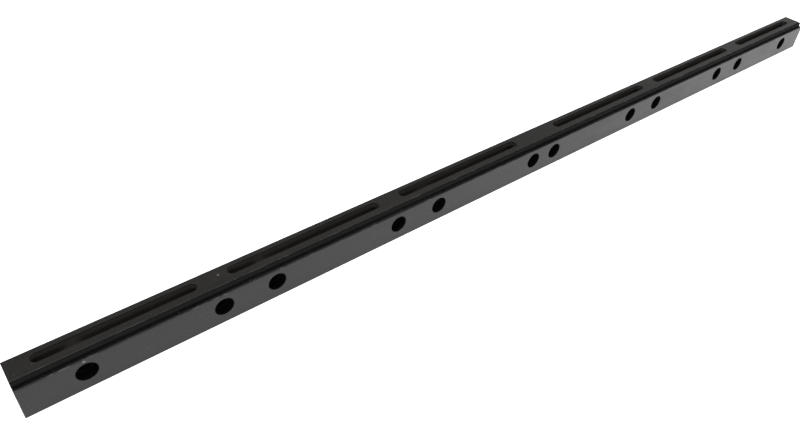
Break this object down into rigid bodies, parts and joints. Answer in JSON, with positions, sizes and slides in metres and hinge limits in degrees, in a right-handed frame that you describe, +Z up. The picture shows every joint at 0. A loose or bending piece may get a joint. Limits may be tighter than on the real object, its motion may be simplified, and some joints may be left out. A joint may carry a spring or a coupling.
{
  "type": "linear guide",
  "caption": "Full-length linear guide: a black rail with mounting holes in its front face, and a slotted carriage that slides on it over caged balls.",
  "frame": {"origin": "centre of the guide's footprint, on the surface it rests on", "axes": "+X along the guide, from the near end to the far end; +Y from the rail's holed front face to the rear; +Z up, out of the slotted top"},
  "size_m": [0.65, 0.0164, 0.0218],
  "materials": {
    "rail_black": "satin black anodised",
    "carriage_black": "satin black anodised, slightly duller on top",
    "seal_rubber": "matte",
    "plug_plastic": "fine moulded texture",
    "screw_steel": "black oxide",
    "cage_brass": "satin stamped strip",
    "ball_steel": "polished"
  },
  "bodies": {
    "rail": {"guide_rail": "rail_black", "rail_stop_screw_near": "screw_steel", "rail_stop_screw_mid": "screw_steel"},
    "carriage": {"carriage": "carriage_black", "upper_side_seal": "seal_rubber", "lower_side_seal": "seal_rubber", "end_plug_near": "plug_plastic", "end_plug_far": "plug_plastic", "bumper_near": "seal_rubber", "bumper_far": "seal_rubber", "plug_screw_near_lower": "screw_steel", "plug_screw_near_upper": "screw_steel", "plug_screw_far_lower": "screw_steel", "plug_screw_far_upper": "screw_steel"},
    "upper_cage": {"upper_ball_cage": "cage_brass", "ball_upper_01": "ball_steel", "ball_upper_02": "ball_steel", "ball_upper_03": "ball_steel", "ball_upper_04": "ball_steel", "ball_upper_05": "ball_steel", "ball_upper_06": "ball_steel", "ball_upper_07": "ball_steel", "ball_upper_08": "ball_steel", "ball_upper_09": "ball_steel", "ball_upper_10": "ball_steel", "ball_upper_11": "ball_steel", "ball_upper_12": "ball_steel", "ball_upper_13": "ball_steel", "ball_upper_14": "ball_steel"},
    "lower_cage": {"lower_ball_cage": "cage_brass", "ball_lower_01": "ball_steel", "ball_lower_02": "ball_steel", "ball_lower_03": "ball_steel", "ball_lower_04": "ball_steel", "ball_lower_05": "ball_steel", "ball_lower_06": "ball_steel", "ball_lower_07": "ball_steel", "ball_lower_08": "ball_steel", "ball_lower_09": "ball_steel", "ball_lower_10": "ball_steel", "ball_lower_11": "ball_steel", "ball_lower_12": "ball_steel", "ball_lower_13": "ball_steel", "ball_lower_14": "ball_steel"}
  },
  "joints": [
    {"name": "carriage_slide", "type": "slide", "parent": "rail", "child": "carriage", "axis": [1, 0, 0], "range_m": [-0.28, 0]},
    {"name": "upper_cage_slide", "type": "slide", "parent": "rail", "child": "upper_cage", "axis": [1, 0, 0], "range_m": [-0.14, 0]},
    {"name": "lower_cage_slide", "type": "slide", "parent": "rail", "child": "lower_cage", "axis": [1, 0, 0], "range_m": [-0.14, 0]}
  ],
  "couplings": [
    {"joint": "upper_cage_slide", "follows": "carriage_slide", "ratio": 0.5},
    {"joint": "lower_cage_slide", "follows": "carriage_slide", "ratio": 0.5}
  ]
}
